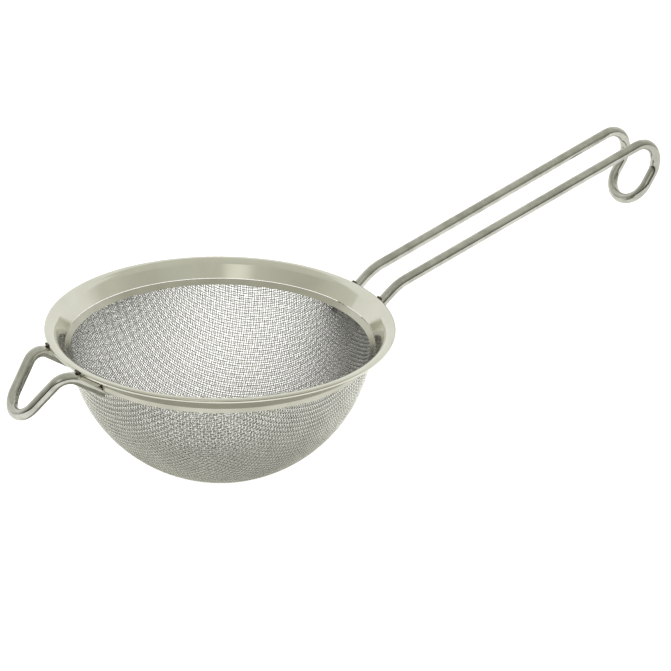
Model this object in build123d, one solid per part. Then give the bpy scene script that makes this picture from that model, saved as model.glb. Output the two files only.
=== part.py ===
from build123d import *
import math
import os

# Double sieve strainer: a round-bottomed bowl of two wire cloths hung from a flared steel rim, with a
# hairpin wire handle on one side and a wire rest hook on the other.
# Millimetres. Z is the bowl's axis and points up, X points along the handle, and the origin is on the
# axis at the height of the rim's top edge. The object is the same on both sides of the XZ plane.

# ---- rim: a sheet-metal flare, rounded over at its crest, whose outer edge is rolled under
rim_radius = 92.5  # outside of the rolled edge
edge_roll_radius = 1.2  # outside of the roll's section
edge_roll_sweep = 280.0  # degrees the sheet turns through in the roll
sheet = 0.5
flare_slope = 57.0  # degrees, of the straight part under the crest
flare_end_radius = 82.1  # middle of the sheet where the flare ends on the hem ring
flare_end_z = -9.7

# ---- hem ring: a wedge-shaped hoop under the flare that holds the top edges of both cloths
hem_top_radius = 81.75  # inner edge at the top
hem_outer_radius = 82.0
hem_foot_radius = 79.35  # inner edge at the bottom
hem_foot_outer_radius = 81.6
hem_bottom = -12.6

# ---- bowl: two cloths pressed to parts of spheres about one centre, coarse outside and fine inside
bowl_centre_z = -4.6
coarse_outer_radius = 81.1
coarse_thickness = 0.7
fine_thickness = 0.7
cloth_gap = 0.03

# ---- wire of the handle and the hook
wire_radius = 3.0

# ---- handle: two rods that rise from under the flare, level off outside the rim, and end in a curl
leg_slope = 41.0  # degrees, under the flare
rod_slope = 18.5  # degrees, outside the rim
elbow_x = 103.7
elbow_z = 5.25
elbow_radius = 30.0
rod_spread_start = 12.55  # from the XZ plane to a rod's centre line, at the elbow
rod_spread_end = 13.5  # the same, at the curl
rod_run = 173.2  # from the elbow to the start of the curl, along the rods
curl_radius = 12.7
curl_angle = 139.0
curl_tail = 7.4  # straight part after the curl, before the closing half turn
leg_inner_x = 79.0

# ---- rest hook: a rounded V of wire, hanging out and down from two legs under the flare
hook_leg_slope = 34.5
hook_spread = 18.1
hook_bend_x = -97.6
hook_bend_z = -0.55
hook_bend_radius = 8.6
hook_apex_x = -135.3  # where the two straight sides would meet
hook_apex_z = -47.5
hook_tip_radius = 11.6
hook_inner_x = -76.0
hook_split = 0.2  # where the bend's part of each straight side ends and the tip's part begins

# ---- weld beads: one over each wire, in the corner against the rolled edge
bead_radius = 0.75
bead_half_length = 1.2
bead_sink = 0.3  # how much nearer than touching a bead sits to its wire and to the rolled edge

play = 0.04  # left between parts that touch


def section_ring(face):
    """The ring that a section in radius and height makes round the bowl's axis."""
    return revolve(Plane.XZ * face, Axis.Z)


def ring_at(radius, bottom, top, inner):
    """A plain hoop between two heights."""
    corners = ((inner, bottom), (radius, bottom), (radius, top), (inner, top))
    return section_ring(make_face(Polyline(*corners, close=True)))


def sphere_at_bowl(radius):
    return Pos(0, 0, bowl_centre_z) * Sphere(radius)


def below(height):
    """A block that keeps everything under a height."""
    return Pos(0, 0, height - 200) * Box(400, 400, 400)


def cloth_shell(outer, thickness, top):
    """A cloth as a thin bowl, cut level at the top."""
    shell = sphere_at_bowl(outer) - sphere_at_bowl(outer - thickness)
    return shell & below(top)


def round_wire(path):
    """Round wire swept along a centre line."""
    start = Plane(origin=path @ 0, z_dir=path % 0)
    return sweep(start * Circle(wire_radius), path=path)


def slope_vector(angle):
    a = math.radians(angle)
    return Vector(math.cos(a), 0, math.sin(a))


# ------------------------------------------------------------------ rim flange
edge_centre = (rim_radius - edge_roll_radius, -edge_roll_radius)
slope = math.radians(flare_slope)
flare_run = edge_centre[0] - flare_end_radius
flare_drop = -sheet / 2 - flare_end_z
# the radius over the crest that leaves the straight part at its slope through the flare's end
crest_radius = (flare_run * math.sin(slope) - flare_drop * math.cos(slope)) / (1 - math.cos(slope))
crest_centre = (edge_centre[0], -sheet / 2 - crest_radius)
slope_top = (
    crest_centre[0] - crest_radius * math.sin(slope),
    crest_centre[1] + crest_radius * math.cos(slope),
)
flare_line = (
    Line((flare_end_radius, flare_end_z), slope_top)
    + CenterArc(crest_centre, crest_radius, 90 + flare_slope, -flare_slope)
    + CenterArc(edge_centre, edge_roll_radius - sheet / 2, 90, -edge_roll_sweep)
)
rim_flange = section_ring(trace(flare_line, line_width=sheet))

# ------------------------------------------------------------------ hem ring
hem_top = flare_end_z - sheet / 2 * math.cos(slope) - play
hem_corners = (
    (hem_top_radius, hem_top),
    (hem_outer_radius, hem_top),
    (hem_foot_outer_radius, hem_bottom),
    (hem_foot_radius, hem_bottom),
)
hem_ring = section_ring(make_face(Polyline(*hem_corners, close=True)))

# ------------------------------------------------------------------ cloths
cloth_top = hem_bottom - play
coarse_cloth = cloth_shell(coarse_outer_radius, coarse_thickness, cloth_top)
fine_outer = coarse_outer_radius - coarse_thickness - cloth_gap
fine_cloth = cloth_shell(fine_outer, fine_thickness, cloth_top)

# What the inner ends of the wires are coped against: the bowl, the ring above it, and the flare.
bowl_clearance = sphere_at_bowl(coarse_outer_radius + play) & below(hem_bottom)
bowl_clearance += ring_at(hem_outer_radius + play, hem_bottom, 0, 1)
under_flare = section_ring(
    trace(flare_line, line_width=sheet + 2 * play)
    + Pos(*edge_centre) * Circle(edge_roll_radius + play)
)


def coped(wire):
    """The wire with its inner ends cut to lie against the bowl and the flare."""
    cut = wire - bowl_clearance - under_flare
    return max(cut.solids(), key=lambda s: s.volume)


# ------------------------------------------------------------------ handle
elbow = Vector(elbow_x, 0, elbow_z)
along_rod = slope_vector(rod_slope)
down_leg = slope_vector(leg_slope)
leg_start = elbow - down_leg * ((elbow_x - leg_inner_x) / math.cos(math.radians(leg_slope)))
curl_start = elbow + along_rod * rod_run
spread_rate = (rod_spread_end - rod_spread_start) / rod_run


def curl_point(angle):
    """Centre line of the curl in the XZ plane, after turning down by an angle in degrees."""
    a = math.radians(rod_slope)
    b = math.radians(rod_slope - angle)
    return curl_start + Vector(math.sin(a) - math.sin(b), 0, math.cos(b) - math.cos(a)) * curl_radius


def handle_side(side):
    """One rod, from under the flare to the start of the closing half turn."""
    y0 = Vector(0, side * (rod_spread_start - spread_rate * 30), 0)
    y1 = Vector(0, side * rod_spread_start, 0)
    y2 = Vector(0, side * rod_spread_end, 0)
    bent = FilletPolyline(leg_start + y0, elbow + y1, curl_start + y2, radius=elbow_radius)
    mid = curl_point(curl_angle / 2) + y2
    end = curl_point(curl_angle) + y2
    curl = ThreePointArc(curl_start + y2, mid, end)
    tail = Line(end, end + slope_vector(rod_slope - curl_angle) * curl_tail)
    return bent, curl, tail


left_bent, left_curl, left_tail = handle_side(1)
right_bent, right_curl, right_tail = handle_side(-1)
turn_left = left_tail @ 1
turn_right = right_tail @ 1
turn_middle = (turn_left + turn_right) * 0.5 + slope_vector(rod_slope - curl_angle) * rod_spread_end
closing_turn = ThreePointArc(turn_left, turn_middle, turn_right)
handle_path = Wire(
    left_bent.edges()
    + left_curl.edges()
    + left_tail.edges()
    + closing_turn.edges()
    + right_tail.edges()
    + right_curl.edges()
    + right_bent.edges()
)
handle_wire = coped(round_wire(handle_path))

# ------------------------------------------------------------------ rest hook
hook_down = math.tan(math.radians(hook_leg_slope))


def hook_leg(side):
    """A hook leg's inner end and the corner where it turns down."""
    corner = Vector(hook_bend_x, side * hook_spread, hook_bend_z)
    run = hook_inner_x - hook_bend_x
    return corner + Vector(run, 0, -run * hook_down), corner


hook_left_end, hook_left_corner = hook_leg(1)
hook_right_end, hook_right_corner = hook_leg(-1)
apex = Vector(hook_apex_x, 0, hook_apex_z)
hook_side_left = FilletPolyline(
    hook_left_end,
    hook_left_corner,
    hook_left_corner + (apex - hook_left_corner) * hook_split,
    radius=hook_bend_radius,
)
hook_side_right = FilletPolyline(
    hook_right_end,
    hook_right_corner,
    hook_right_corner + (apex - hook_right_corner) * hook_split,
    radius=hook_bend_radius,
)
hook_tip = FilletPolyline(hook_side_left @ 1, apex, hook_side_right @ 1, radius=hook_tip_radius)
hook_path = Wire(hook_side_left.edges() + hook_tip.edges() + hook_side_right.edges())
rest_hook = coped(round_wire(hook_path))


# ------------------------------------------------------------------ weld beads
def rounded_bar(radius, half_length):
    """A round bar along Y with round ends."""
    tip = radius + half_length
    outline = (
        Line((0, -tip), (0, tip))
        + CenterArc((0, half_length), radius, 90, -90)
        + Line((radius, half_length), (radius, -half_length))
        + CenterArc((0, -half_length), radius, 0, -90)
    )
    return revolve(make_face(outline.edges()), Axis.Y)


def weld_bead(wire, corner, slope, direction):
    """A short bead across a wire, in the corner between the wire and the rolled edge."""
    a = math.radians(slope)
    roll_x = math.sqrt(edge_centre[0] ** 2 - corner.Y**2)
    inward = abs(corner.X) - roll_x
    drop = corner.Z - edge_centre[1]
    # the roll's centre in the wire's own directions: along it from the corner, and above its centre line
    roll_along = inward * math.cos(a) + drop * math.sin(a)
    roll_above = inward * math.sin(a) - drop * math.cos(a)
    above = wire_radius + bead_radius - bead_sink
    reach = edge_roll_radius + bead_radius - bead_sink
    along = roll_along - math.sqrt(reach**2 - (above - roll_above) ** 2)
    x = abs(corner.X) - along * math.cos(a) - above * math.sin(a)
    z = corner.Z - along * math.sin(a) + above * math.cos(a)
    bead = Pos(direction * x, corner.Y, z) * rounded_bar(bead_radius, bead_half_length)
    cut = bead - wire - under_flare - bowl_clearance
    return max(cut.solids(), key=lambda s: s.volume)


elbow_left = elbow + Vector(0, rod_spread_start, 0)
elbow_right = elbow - Vector(0, rod_spread_start, 0)
handle_weld_left = weld_bead(handle_wire, elbow_left, leg_slope, 1)
handle_weld_right = weld_bead(handle_wire, elbow_right, leg_slope, 1)
hook_weld_left = weld_bead(rest_hook, hook_left_corner, hook_leg_slope, -1)
hook_weld_right = weld_bead(rest_hook, hook_right_corner, hook_leg_slope, -1)

# ------------------------------------------------------------------ files
nodes = {
    "rim_flange": rim_flange,
    "hem_ring": hem_ring,
    "fine_cloth": fine_cloth,
    "coarse_cloth": coarse_cloth,
    "handle_wire": handle_wire,
    "rest_hook": rest_hook,
    "handle_weld_left": handle_weld_left,
    "handle_weld_right": handle_weld_right,
    "hook_weld_left": hook_weld_left,
    "hook_weld_right": hook_weld_right,
}
os.makedirs("parts", exist_ok=True)
for name, shape in nodes.items():
    export_step(shape, f"parts/{name}.step")
    box = shape.bounding_box()
    print(name, round(shape.volume, 1), len(shape.solids()), [round(v, 2) for v in (*box.min, *box.max)])
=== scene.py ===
import math

import bpy
import numpy as np
from mathutils import Matrix, Vector


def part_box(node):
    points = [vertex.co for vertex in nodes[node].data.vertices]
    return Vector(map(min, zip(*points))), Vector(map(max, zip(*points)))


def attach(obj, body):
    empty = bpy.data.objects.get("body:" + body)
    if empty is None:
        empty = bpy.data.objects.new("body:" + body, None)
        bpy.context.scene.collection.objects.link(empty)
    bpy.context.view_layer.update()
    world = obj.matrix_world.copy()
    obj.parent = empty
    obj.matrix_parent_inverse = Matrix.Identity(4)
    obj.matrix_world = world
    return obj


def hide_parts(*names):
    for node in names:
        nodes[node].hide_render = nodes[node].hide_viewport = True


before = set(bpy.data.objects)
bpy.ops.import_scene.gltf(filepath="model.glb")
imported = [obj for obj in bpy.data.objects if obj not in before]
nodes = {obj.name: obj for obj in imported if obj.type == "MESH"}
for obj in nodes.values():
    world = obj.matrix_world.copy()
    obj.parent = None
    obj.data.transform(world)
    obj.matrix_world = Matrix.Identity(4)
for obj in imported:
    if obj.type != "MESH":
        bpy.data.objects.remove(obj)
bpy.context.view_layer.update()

scene = bpy.context.scene

# ---------------------------------------------------------------- places from the frame
RIM_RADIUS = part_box("rim_flange")[1][0]
CLOTH_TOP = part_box("coarse_cloth")[1][2]
BOWL_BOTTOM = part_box("coarse_cloth")[0][2]

# ---------------------------------------------------------------- camera
CAMERA_ELEVATION = math.radians(24.59)
CAMERA_AZIMUTH = math.radians(-33.04)
CAMERA_ROLL = math.radians(-1.99)
CAMERA_LENS = 94.0
CAMERA_SENSOR_WIDTH = 36.0
# where the camera's axis passes and how far away it stands, in rim radii
CAMERA_RIGHT, CAMERA_UP, CAMERA_BACK = 0.6552, -0.0580, 10.0

cam_back = Vector(
    (
        math.sin(CAMERA_AZIMUTH) * math.cos(CAMERA_ELEVATION),
        -math.cos(CAMERA_AZIMUTH) * math.cos(CAMERA_ELEVATION),
        math.sin(CAMERA_ELEVATION),
    )
)
level_right = Vector((math.cos(CAMERA_AZIMUTH), math.sin(CAMERA_AZIMUTH), 0))
level_up = cam_back.cross(level_right)
cam_right = level_right * math.cos(CAMERA_ROLL) - level_up * math.sin(CAMERA_ROLL)
cam_up = level_right * math.sin(CAMERA_ROLL) + level_up * math.cos(CAMERA_ROLL)
turn = Matrix((cam_right, cam_up, cam_back)).transposed().to_4x4()
place = level_right * CAMERA_RIGHT + level_up * CAMERA_UP + cam_back * CAMERA_BACK
camera = bpy.data.objects.new("camera", bpy.data.cameras.new("camera"))
camera.data.lens = CAMERA_LENS
camera.data.sensor_width = CAMERA_SENSOR_WIDTH
camera.matrix_world = Matrix.Translation(place * RIM_RADIUS) @ turn
scene.collection.objects.link(camera)
scene.camera = camera


# ---------------------------------------------------------------- node helpers
class Shader:
    """A material or world node tree, with short ways to add nodes."""

    def __init__(self, tree):
        self.tree = tree

    def put(self, value, socket):
        """Link a socket, or set a number, a vector or a colour of three numbers."""
        if isinstance(value, bpy.types.NodeSocket):
            self.tree.links.new(value, socket)
        elif socket.type == "RGBA":
            socket.default_value = (*value, 1.0)
        else:
            socket.default_value = value

    def add(self, kind, inputs=None, **settings):
        node = self.tree.nodes.new(kind)
        for key, value in settings.items():
            setattr(node, key, value)
        for key, value in (inputs or {}).items():
            self.put(value, node.inputs[key])
        return node

    def math(self, operation, a, b=0.0):
        node = self.add("ShaderNodeMath", operation=operation)
        self.put(a, node.inputs[0])
        self.put(b, node.inputs[1])
        return node.outputs[0]

    def dot(self, vector, other):
        node = self.add("ShaderNodeVectorMath", {0: vector, 1: other}, operation="DOT_PRODUCT")
        return node.outputs["Value"]

    def noise(self, vector, scale, detail=2.0, rough=0.5):
        node = self.add(
            "ShaderNodeTexNoise",
            {"Vector": vector, "Scale": scale, "Detail": detail, "Roughness": rough},
        )
        return node.outputs["Fac"]

    def ramp(self, value, low, high, to_low=0.0, to_high=1.0, smooth=False):
        node = self.add(
            "ShaderNodeMapRange",
            {
                "Value": value,
                "From Min": low,
                "From Max": high,
                "To Min": to_low,
                "To Max": to_high,
            },
            interpolation_type="SMOOTHSTEP" if smooth else "LINEAR",
        )
        return node.outputs[0]

    def mix(self, factor, a, b):
        """a and b are colours of three numbers or sockets."""
        node = self.add("ShaderNodeMix", data_type="RGBA")
        factor_in, a_in, b_in = node.inputs[0], node.inputs[6], node.inputs[7]
        for value, socket in ((factor, factor_in), (a, a_in), (b, b_in)):
            self.put(value, socket)
        return node.outputs[2]

    def bump(self, height, strength, distance):
        node = self.add(
            "ShaderNodeBump", {"Strength": strength, "Distance": distance, "Height": height}
        )
        return node.outputs[0]


def new_material(name, roughness, **sockets):
    """A Principled material, and its node helper, shader and object coordinates."""
    material = bpy.data.materials.new(name)
    material.use_nodes = True
    sh = Shader(material.node_tree)
    principled = material.node_tree.nodes["Principled BSDF"]
    principled.inputs["Roughness"].default_value = roughness
    for key, value in sockets.items():
        principled.inputs[key.replace("_", " ")].default_value = value
    where = sh.add("ShaderNodeTexCoord").outputs["Object"]
    return material, sh, principled, where


# ---------------------------------------------------------------- materials
# each steel has a clean and a dull colour, mixed in soft patches
STEEL, STEEL_DULL = (0.670, 0.668, 0.590), (0.620, 0.615, 0.535)
HEM_STEEL, HEM_STEEL_DULL = (0.520, 0.515, 0.440), (0.440, 0.435, 0.370)
WIRE_STEEL, WIRE_STEEL_DULL = (0.540, 0.540, 0.490), (0.400, 0.400, 0.355)
# painted light: the coarse cloth's steel is near white so that the outside of the bowl reads
# brighter
COARSE_STEEL_PAINTED_LIGHT, COARSE_STEEL_DULL_PAINTED_LIGHT = (0.94, 0.94, 0.88), (0.86, 0.86, 0.80)
# painted shade: the fine cloth's steel is dark so that the inner cloth reads as shaded
FINE_STEEL_PAINTED_SHADE, FINE_STEEL_DULL_PAINTED_SHADE = (0.45, 0.45, 0.44), (0.38, 0.38, 0.375)
WELD_STEEL, WELD_STEEL_PALE = (0.05, 0.045, 0.040), (0.16, 0.14, 0.11)
# how much rougher the hem is than the flange
HEM_EXTRA_ROUGHNESS = 0.10
CLOTH_ROUGHNESS = 0.14
WELD_ROUGHNESS = 0.45
# sizes of the patterns, as noise scales in 1/m
SHEET_LINES_ACROSS, SHEET_LINES_UP = 4000.0, 3000.0
SHEET_PATCHES = 45.0
WIRE_MOTTLE, WIRE_PATCHES = 160.0, 30.0
WELD_GRAIN = 900.0
CLOTH_PATCHES = 70.0


def sheet_material(name, colour, dull, extra_rough):
    """Polished stainless sheet: faint polishing lines round the rim and soft duller patches."""
    material, sh, bsdf, where = new_material(name, 0.12, Metallic=1.0)
    x, y, z = sh.add("ShaderNodeSeparateXYZ", {"Vector": where}).outputs
    radius = sh.math(
        "SQRT", sh.math("ADD", sh.math("MULTIPLY", x, x), sh.math("MULTIPLY", y, y))
    )
    around = sh.math("ARCTAN2", y, x)
    lines_at = sh.add(
        "ShaderNodeCombineXYZ",
        {
            "X": sh.math("MULTIPLY", radius, SHEET_LINES_ACROSS),
            "Y": sh.math("MULTIPLY", z, SHEET_LINES_UP),
            "Z": around,
        },
    ).outputs[0]
    lines = sh.noise(lines_at, 1.0, 3.0)
    cloud = sh.noise(where, SHEET_PATCHES, 3.0)
    sh.put(sh.mix(sh.ramp(cloud, 0.35, 0.7), colour, dull), bsdf.inputs["Base Color"])
    line_rough = sh.ramp(lines, 0.3, 0.7, 0.06 + extra_rough, 0.11 + extra_rough)
    rough = sh.math("ADD", line_rough, sh.ramp(cloud, 0.4, 0.7, 0.0, 0.04))
    sh.put(rough, bsdf.inputs["Roughness"])
    sh.put(sh.bump(lines, 0.05, 0.0001), bsdf.inputs["Normal"])
    return material


def wire_material():
    """Drawn and polished wire with fine mottling in its tone and gloss."""
    material, sh, bsdf, where = new_material("polished_wire", 0.08, Metallic=1.0)
    mottle = sh.noise(where, WIRE_MOTTLE, 4.0, 0.6)
    cloud = sh.noise(where, WIRE_PATCHES)
    patches = sh.math("ADD", sh.math("MULTIPLY", cloud, 0.4), sh.math("MULTIPLY", mottle, 0.6))
    tint = sh.mix(sh.ramp(patches, 0.40, 0.60), WIRE_STEEL, WIRE_STEEL_DULL)
    sh.put(tint, bsdf.inputs["Base Color"])
    sh.put(sh.ramp(mottle, 0.3, 0.7, 0.06, 0.16), bsdf.inputs["Roughness"])
    sh.put(sh.bump(mottle, 0.04, 0.0002), bsdf.inputs["Normal"])
    return material


def weld_material():
    """Rough dark weld metal."""
    material, sh, bsdf, where = new_material("weld", WELD_ROUGHNESS, Metallic=1.0)
    grain = sh.noise(where, WELD_GRAIN, 4.0, 0.6)
    tint = sh.mix(sh.ramp(grain, 0.35, 0.65), WELD_STEEL, WELD_STEEL_PALE)
    sh.put(tint, bsdf.inputs["Base Color"])
    sh.put(sh.bump(grain, 0.5, 0.0002), bsdf.inputs["Normal"])
    return material


def cloth_material(name, colour, dull):
    """Steel of the woven wires; the given colours carry painted light on the coarse cloth and
    painted shade on the fine one. The weave itself is real geometry.
    """
    material, sh, bsdf, where = new_material(name, CLOTH_ROUGHNESS, Metallic=1.0)
    cloud = sh.noise(where, CLOTH_PATCHES)
    sh.put(sh.mix(sh.ramp(cloud, 0.35, 0.7), colour, dull), bsdf.inputs["Base Color"])
    return material


# ---------------------------------------------------------------- woven cloths
BOWL_CENTRE_Z = -0.0046
COARSE_RADIUS, FINE_RADIUS = 0.08075, 0.08002
# pitch of the weave and radius of its wires
COARSE_PITCH, COARSE_WIRE = 0.0017, 0.000175
FINE_PITCH, FINE_WIRE = 0.001235, 0.000175
# directions of warp and weft at the bowl's lowest point
COARSE_TURN = (math.radians(52.0), math.radians(142.0))
FINE_TURN = (math.radians(40.0), math.radians(142.0))
# sides of each wire, an even number, and pieces for each set of wires
COARSE_SIDES, COARSE_PARTS = 6, 2
FINE_SIDES, FINE_PARTS = 4, 3
# a wire runs straight for this share of a pitch each side of a crossing
CROSSING_FLAT = 0.27
# meshes that a quarter of the net has beyond the bowl's widest circle
NET_SPARE = 6


def net_quadrant(radius, pitch, count, first, second):
    """A quarter of a net laid on a sphere with every mesh side the same length, pole at -Z.

    Its two edges run from the pole in the level directions first and second.
    """
    facing = radius * radius - pitch * pitch / 2
    points = np.zeros((count, count, 3))
    arc = np.arange(count)[:, None] * 2 * math.asin(pitch / 2 / radius)
    pole = np.array([0.0, 0.0, -radius])
    points[:, 0] = np.cos(arc) * pole + np.sin(arc) * radius * np.array(first)
    points[0, :] = np.cos(arc) * pole + np.sin(arc) * radius * np.array(second)
    for diagonal in range(2, 2 * count - 1):
        i = np.arange(max(1, diagonal - count + 1), min(count - 1, diagonal - 1) + 1)
        j = diagonal - i
        a, b, opposite = points[i, j - 1], points[i - 1, j], points[i - 1, j - 1]
        share = 2 * facing / (radius * radius + (a * b).sum(1))
        points[i, j] = share[:, None] * (a + b) - opposite
    return points


def whole_net(radius, pitch, warp_turn, weft_turn):
    """The four quarters together. The turns are the two sets' directions at the pole."""
    count = int(radius * math.pi / 2 / pitch) + NET_SPARE
    size = 2 * count - 1
    full = np.zeros((size, size, 3))
    warp = np.array([math.cos(warp_turn), math.sin(warp_turn), 0.0])
    weft = np.array([math.cos(weft_turn), math.sin(weft_turn), 0.0])
    forward, backward = slice(count - 1, None), slice(count - 1, None, -1)
    for rows, row_sign in ((forward, 1), (backward, -1)):
        for columns, column_sign in ((forward, 1), (backward, -1)):
            quarter = net_quadrant(radius, pitch, count, row_sign * warp, column_sign * weft)
            full[rows, columns] = quarter
    return full


def wire_line(row, parity, rise, radius, top):
    """Centre line and radial directions of one woven wire, cut level at the top."""
    low = np.nonzero(row[:, 2] < top)[0]
    if len(low) < 2:
        return None
    first, last = low[0], low[-1]
    crossings = np.arange(len(row))
    samples = np.stack([crossings - CROSSING_FLAT, crossings + CROSSING_FLAT], 1).ravel()

    def cut(inside, outside):
        span = row[outside, 2] - row[inside, 2]
        return inside + (outside - inside) * (top - row[inside, 2]) / span

    start, end = cut(first, first - 1), cut(last, last + 1)
    samples = samples[(samples > start) & (samples < end)]
    samples = np.concatenate([[start], samples, [end]])
    along = np.stack([np.interp(samples, crossings, row[:, k]) for k in range(3)], 1)
    out = along / np.linalg.norm(along, axis=1)[:, None]
    nearest = np.rint(samples).astype(int)
    side = np.where((nearest + parity) % 2 == 0, 1.0, -1.0)
    return out * (radius + side * rise)[:, None], out


def tube(line, out, thick, sides):
    """Rings of vertices round a centre line, and the quads that join and close them."""
    ahead = np.gradient(line, axis=0)
    ahead /= np.linalg.norm(ahead, axis=1)[:, None]
    across = np.cross(ahead, out)
    across /= np.linalg.norm(across, axis=1)[:, None]
    angle = (np.arange(sides) + 0.5) * 2 * math.pi / sides
    rings = (
        line[:, None]
        + np.cos(angle)[None, :, None] * out[:, None] * thick
        + np.sin(angle)[None, :, None] * across[:, None] * thick
    )
    n = len(line)
    base = np.arange(n - 1)[:, None] * sides
    here = np.arange(sides)[None, :]
    there = (here + 1) % sides
    quads = np.stack([base + here, base + there, base + there + sides, base + here + sides], -1)
    caps = []
    for first, order in ((0, -1), ((n - 1) * sides, 1)):
        for k in range(1, sides - 1, 2):
            caps.append([first, first + k, first + k + 1, first + k + 2][::order])
    return rings.reshape(-1, 3), np.concatenate([quads.reshape(-1, 4), caps])


def mesh_piece(name, vertices, quads, material):
    """A piece of the object from vertices and quads."""
    mesh = bpy.data.meshes.new(name)
    mesh.vertices.add(len(vertices))
    mesh.vertices.foreach_set("co", vertices.astype(np.float32).ravel())
    mesh.loops.add(4 * len(quads))
    mesh.loops.foreach_set("vertex_index", quads.astype(np.int32).ravel())
    mesh.polygons.add(len(quads))
    mesh.polygons.foreach_set("loop_start", np.arange(len(quads), dtype=np.int32) * 4)
    mesh.update(calc_edges=True)
    mesh.validate()
    mesh.shade_smooth()
    mesh.materials.append(material)
    piece = bpy.data.objects.new(name, mesh)
    scene.collection.objects.link(piece)
    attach(piece, "root")
    return piece


def woven_cloth(node, radius, pitch, thick, turned, sides, parts, material):
    """Plain weave of two sets of wires on a sphere, in several pieces for each set."""
    net = whole_net(radius, pitch, *turned)
    top = CLOTH_TOP - BOWL_CENTRE_Z
    made = []
    for set_name, rows, flip in (("warp", net, 0), ("weft", net.transpose(1, 0, 2), 1)):
        lines = [wire_line(row, k + flip, thick, radius, top) for k, row in enumerate(rows)]
        lines = [line for line in lines if line is not None]
        # wires are spread over the pieces so that each has about as many samples
        sizes = np.cumsum([len(centre) for centre, _ in lines])
        share = sizes[-1] / parts
        groups = np.minimum((sizes - 1) // share, parts - 1).astype(int)
        for part in range(parts):
            vertices, quads, offset = [], [], 0
            for (centre, out), group in zip(lines, groups):
                if group != part:
                    continue
                rings, faces = tube(centre, out, thick, sides)
                rings[:, 2] += BOWL_CENTRE_Z
                vertices.append(rings)
                quads.append(faces + offset)
                offset += len(rings)
            piece = mesh_piece(
                f"{node}_{set_name}_{part + 1}",
                np.concatenate(vertices),
                np.concatenate(quads),
                material,
            )
            made.append(piece)
    for piece in made:
        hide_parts(node)


# the coarse cloth carries painted light in its colours, the fine cloth carries painted shade
woven_cloth(
    "coarse_cloth", COARSE_RADIUS, COARSE_PITCH, COARSE_WIRE, COARSE_TURN, COARSE_SIDES,
    COARSE_PARTS, cloth_material("coarse_cloth_steel_painted_light", COARSE_STEEL_PAINTED_LIGHT, COARSE_STEEL_DULL_PAINTED_LIGHT),
)
woven_cloth(
    "fine_cloth", FINE_RADIUS, FINE_PITCH, FINE_WIRE, FINE_TURN, FINE_SIDES,
    FINE_PARTS, cloth_material("fine_cloth_steel_painted_shade", FINE_STEEL_PAINTED_SHADE, FINE_STEEL_DULL_PAINTED_SHADE),
)

# ---------------------------------------------------------------- CAD pieces
weld = weld_material()
finishes = {
    "rim_flange": sheet_material("polished_sheet", STEEL, STEEL_DULL, 0.0),
    "hem_ring": sheet_material("hem_sheet", HEM_STEEL, HEM_STEEL_DULL, HEM_EXTRA_ROUGHNESS),
    "handle_wire": wire_material(),
    "rest_hook": wire_material(),
    "handle_weld_left": weld,
    "handle_weld_right": weld,
    "hook_weld_left": weld,
    "hook_weld_right": weld,
}
for node, material in finishes.items():
    for slot in nodes[node].material_slots:
        slot.material = material

# ---------------------------------------------------------------- floor
FLOOR_HALF = 4.0
FLOOR_STEPS = 8
FLOOR_GAP, SHADE_GAP = 0.0002, 0.0001
FLOOR_TONES = ((0.90, 0.90, 0.90), (0.92, 0.92, 0.92))
SHADE_RADIUS = 1.25 * RIM_RADIUS
SHADE_STEPS = 48
SHADE_TONES = ((0.76, 0.76, 0.73), (0.82, 0.82, 0.79))
PAPER_ROUGHNESS = 0.9
PAPER_PATCHES = 3.0


def paper(name, corners, faces, tones):
    """A level sheet of matt paper."""
    mesh = bpy.data.meshes.new(name)
    mesh.from_pydata(corners, [], faces)
    sheet = bpy.data.objects.new(name, mesh)
    scene.collection.objects.link(sheet)
    material, sh, bsdf, where = new_material(
        name + "_paper", PAPER_ROUGHNESS, Specular_IOR_Level=0.0
    )
    sh.put(sh.mix(sh.noise(where, PAPER_PATCHES), *tones), bsdf.inputs["Base Color"])
    mesh.materials.append(material)
    return sheet


grid = np.linspace(-FLOOR_HALF, FLOOR_HALF, FLOOR_STEPS + 1)
row_length = FLOOR_STEPS + 1
cells = [r * row_length + c for r in range(FLOOR_STEPS) for c in range(FLOOR_STEPS)]
floor = paper(
    "floor",
    [(x, y, BOWL_BOTTOM - FLOOR_GAP) for y in grid for x in grid],
    [(k, k + 1, k + 1 + row_length, k + row_length) for k in cells],
    FLOOR_TONES,
)
floor.visible_glossy = False

# the bowl's own soft shade on the table, seen only in the steel's reflections
turns = [2 * math.pi * k / SHADE_STEPS for k in range(SHADE_STEPS)]
shade = paper(
    "shade",
    [
        (SHADE_RADIUS * math.cos(a), SHADE_RADIUS * math.sin(a), BOWL_BOTTOM - SHADE_GAP)
        for a in turns
    ],
    [tuple(range(SHADE_STEPS))],
    SHADE_TONES,
)
shade.visible_camera = False
shade.visible_diffuse = False
shade.visible_shadow = False

# ---------------------------------------------------------------- world
BACKDROP = (1.0, 1.0, 0.97)
FAR_ROOM = (0.72, 0.72, 0.65)
NEAR_ROOM, NEAR_CEILING = (0.44, 0.44, 0.39), (0.68, 0.68, 0.61)
HORIZON = (0.06, 0.06, 0.055)
TABLE = (1.25, 1.25, 1.22)
PANEL = (1.1, 1.1, 1.02)
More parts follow.
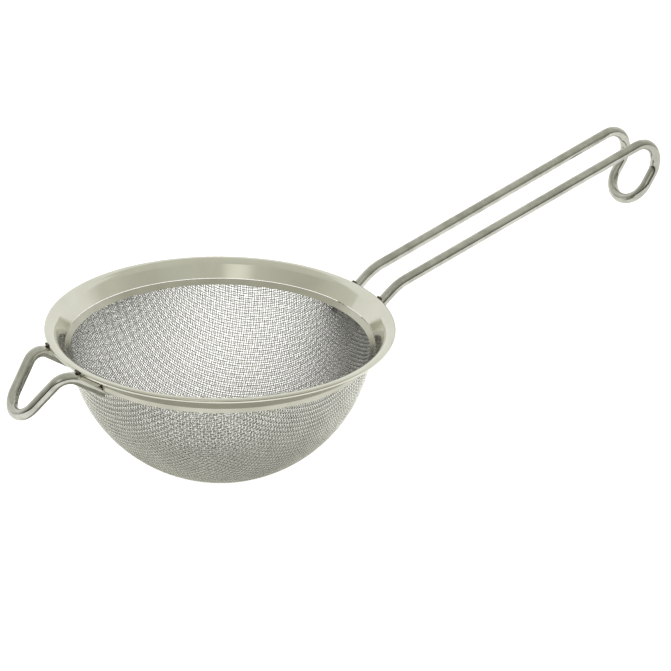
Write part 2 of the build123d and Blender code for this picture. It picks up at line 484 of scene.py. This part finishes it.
# each pair says where one tone starts to give way to the next, and where it has
BACKDROP_SIDES = (math.radians(62), math.radians(78))
BACKDROP_TOP = (0.72, 0.84)
CEILING_START = (0.45, 0.70)
NEAR_SIDE = (-0.10, 0.55)
HORIZON_TOP = (0.10, 0.20)
TABLE_EDGE = (-0.10, -0.04)
PANEL_EDGE = (0.960, 0.990)
PANEL_AZIMUTH, PANEL_ELEVATION = math.radians(228.0), math.radians(32.0)
PANEL_DIRECTION = (
    math.cos(PANEL_AZIMUTH) * math.cos(PANEL_ELEVATION),
    math.sin(PANEL_AZIMUTH) * math.cos(PANEL_ELEVATION),
    math.sin(PANEL_ELEVATION),
)
world = bpy.data.worlds.new("studio")
world.use_nodes = True
scene.world = world
ws = Shader(world.node_tree)
direction = ws.add("ShaderNodeTexCoord").outputs["Generated"]
height = ws.add("ShaderNodeSeparateXYZ", {"Vector": direction}).outputs["Z"]
towards = ws.dot(direction, (math.sin(CAMERA_AZIMUTH), -math.cos(CAMERA_AZIMUTH), 0.0))
sideways = ws.dot(direction, (math.cos(CAMERA_AZIMUTH), math.sin(CAMERA_AZIMUTH), 0.0))
# a white backdrop behind the object, with its top edge and its sides, in a greyer room
bearing = ws.math("ARCTAN2", ws.math("ABSOLUTE", sideways), ws.math("MULTIPLY", towards, -1.0))
inside_sides = ws.ramp(bearing, *BACKDROP_SIDES, 1.0, 0.0, smooth=True)
inside_top = ws.ramp(height, *BACKDROP_TOP, 1.0, 0.0, smooth=True)
near = ws.ramp(towards, *NEAR_SIDE, smooth=True)
near_room = ws.mix(ws.ramp(height, *CEILING_START, smooth=True), NEAR_ROOM, NEAR_CEILING)
room = ws.mix(near, FAR_ROOM, near_room)
room = ws.mix(ws.math("MULTIPLY", inside_sides, inside_top), room, BACKDROP)
# a dim band along the horizon on the camera's side
low = ws.ramp(height, *HORIZON_TOP, 1.0, 0.0, smooth=True)
room = ws.mix(ws.math("MULTIPLY", low, near), room, HORIZON)
# the table under the horizon, and a lamp's soft panel
room = ws.mix(ws.ramp(height, *TABLE_EDGE, 1.0, 0.0, smooth=True), room, TABLE)
on_panel = ws.ramp(ws.dot(direction, PANEL_DIRECTION), *PANEL_EDGE, smooth=True)
room = ws.mix(on_panel, room, PANEL)
ws.put(room, world.node_tree.nodes["Background"].inputs["Color"])
world.node_tree.nodes["Background"].inputs["Strength"].default_value = 1.0

# ---------------------------------------------------------------- light that whitens the floor
WASH_ENERGY = 3.0
WASH_ANGLE = math.radians(60)
wash = bpy.data.objects.new("wash", bpy.data.lights.new("wash", "SUN"))
wash.data.energy = WASH_ENERGY
wash.data.angle = WASH_ANGLE
wash.data.use_shadow = False
wash.visible_glossy = False
scene.collection.objects.link(wash)
floor_only = bpy.data.collections.new("floor_only")
floor_only.objects.link(floor)
wash.light_linking.receiver_collection = floor_only

scene.view_settings.view_transform = "Standard"
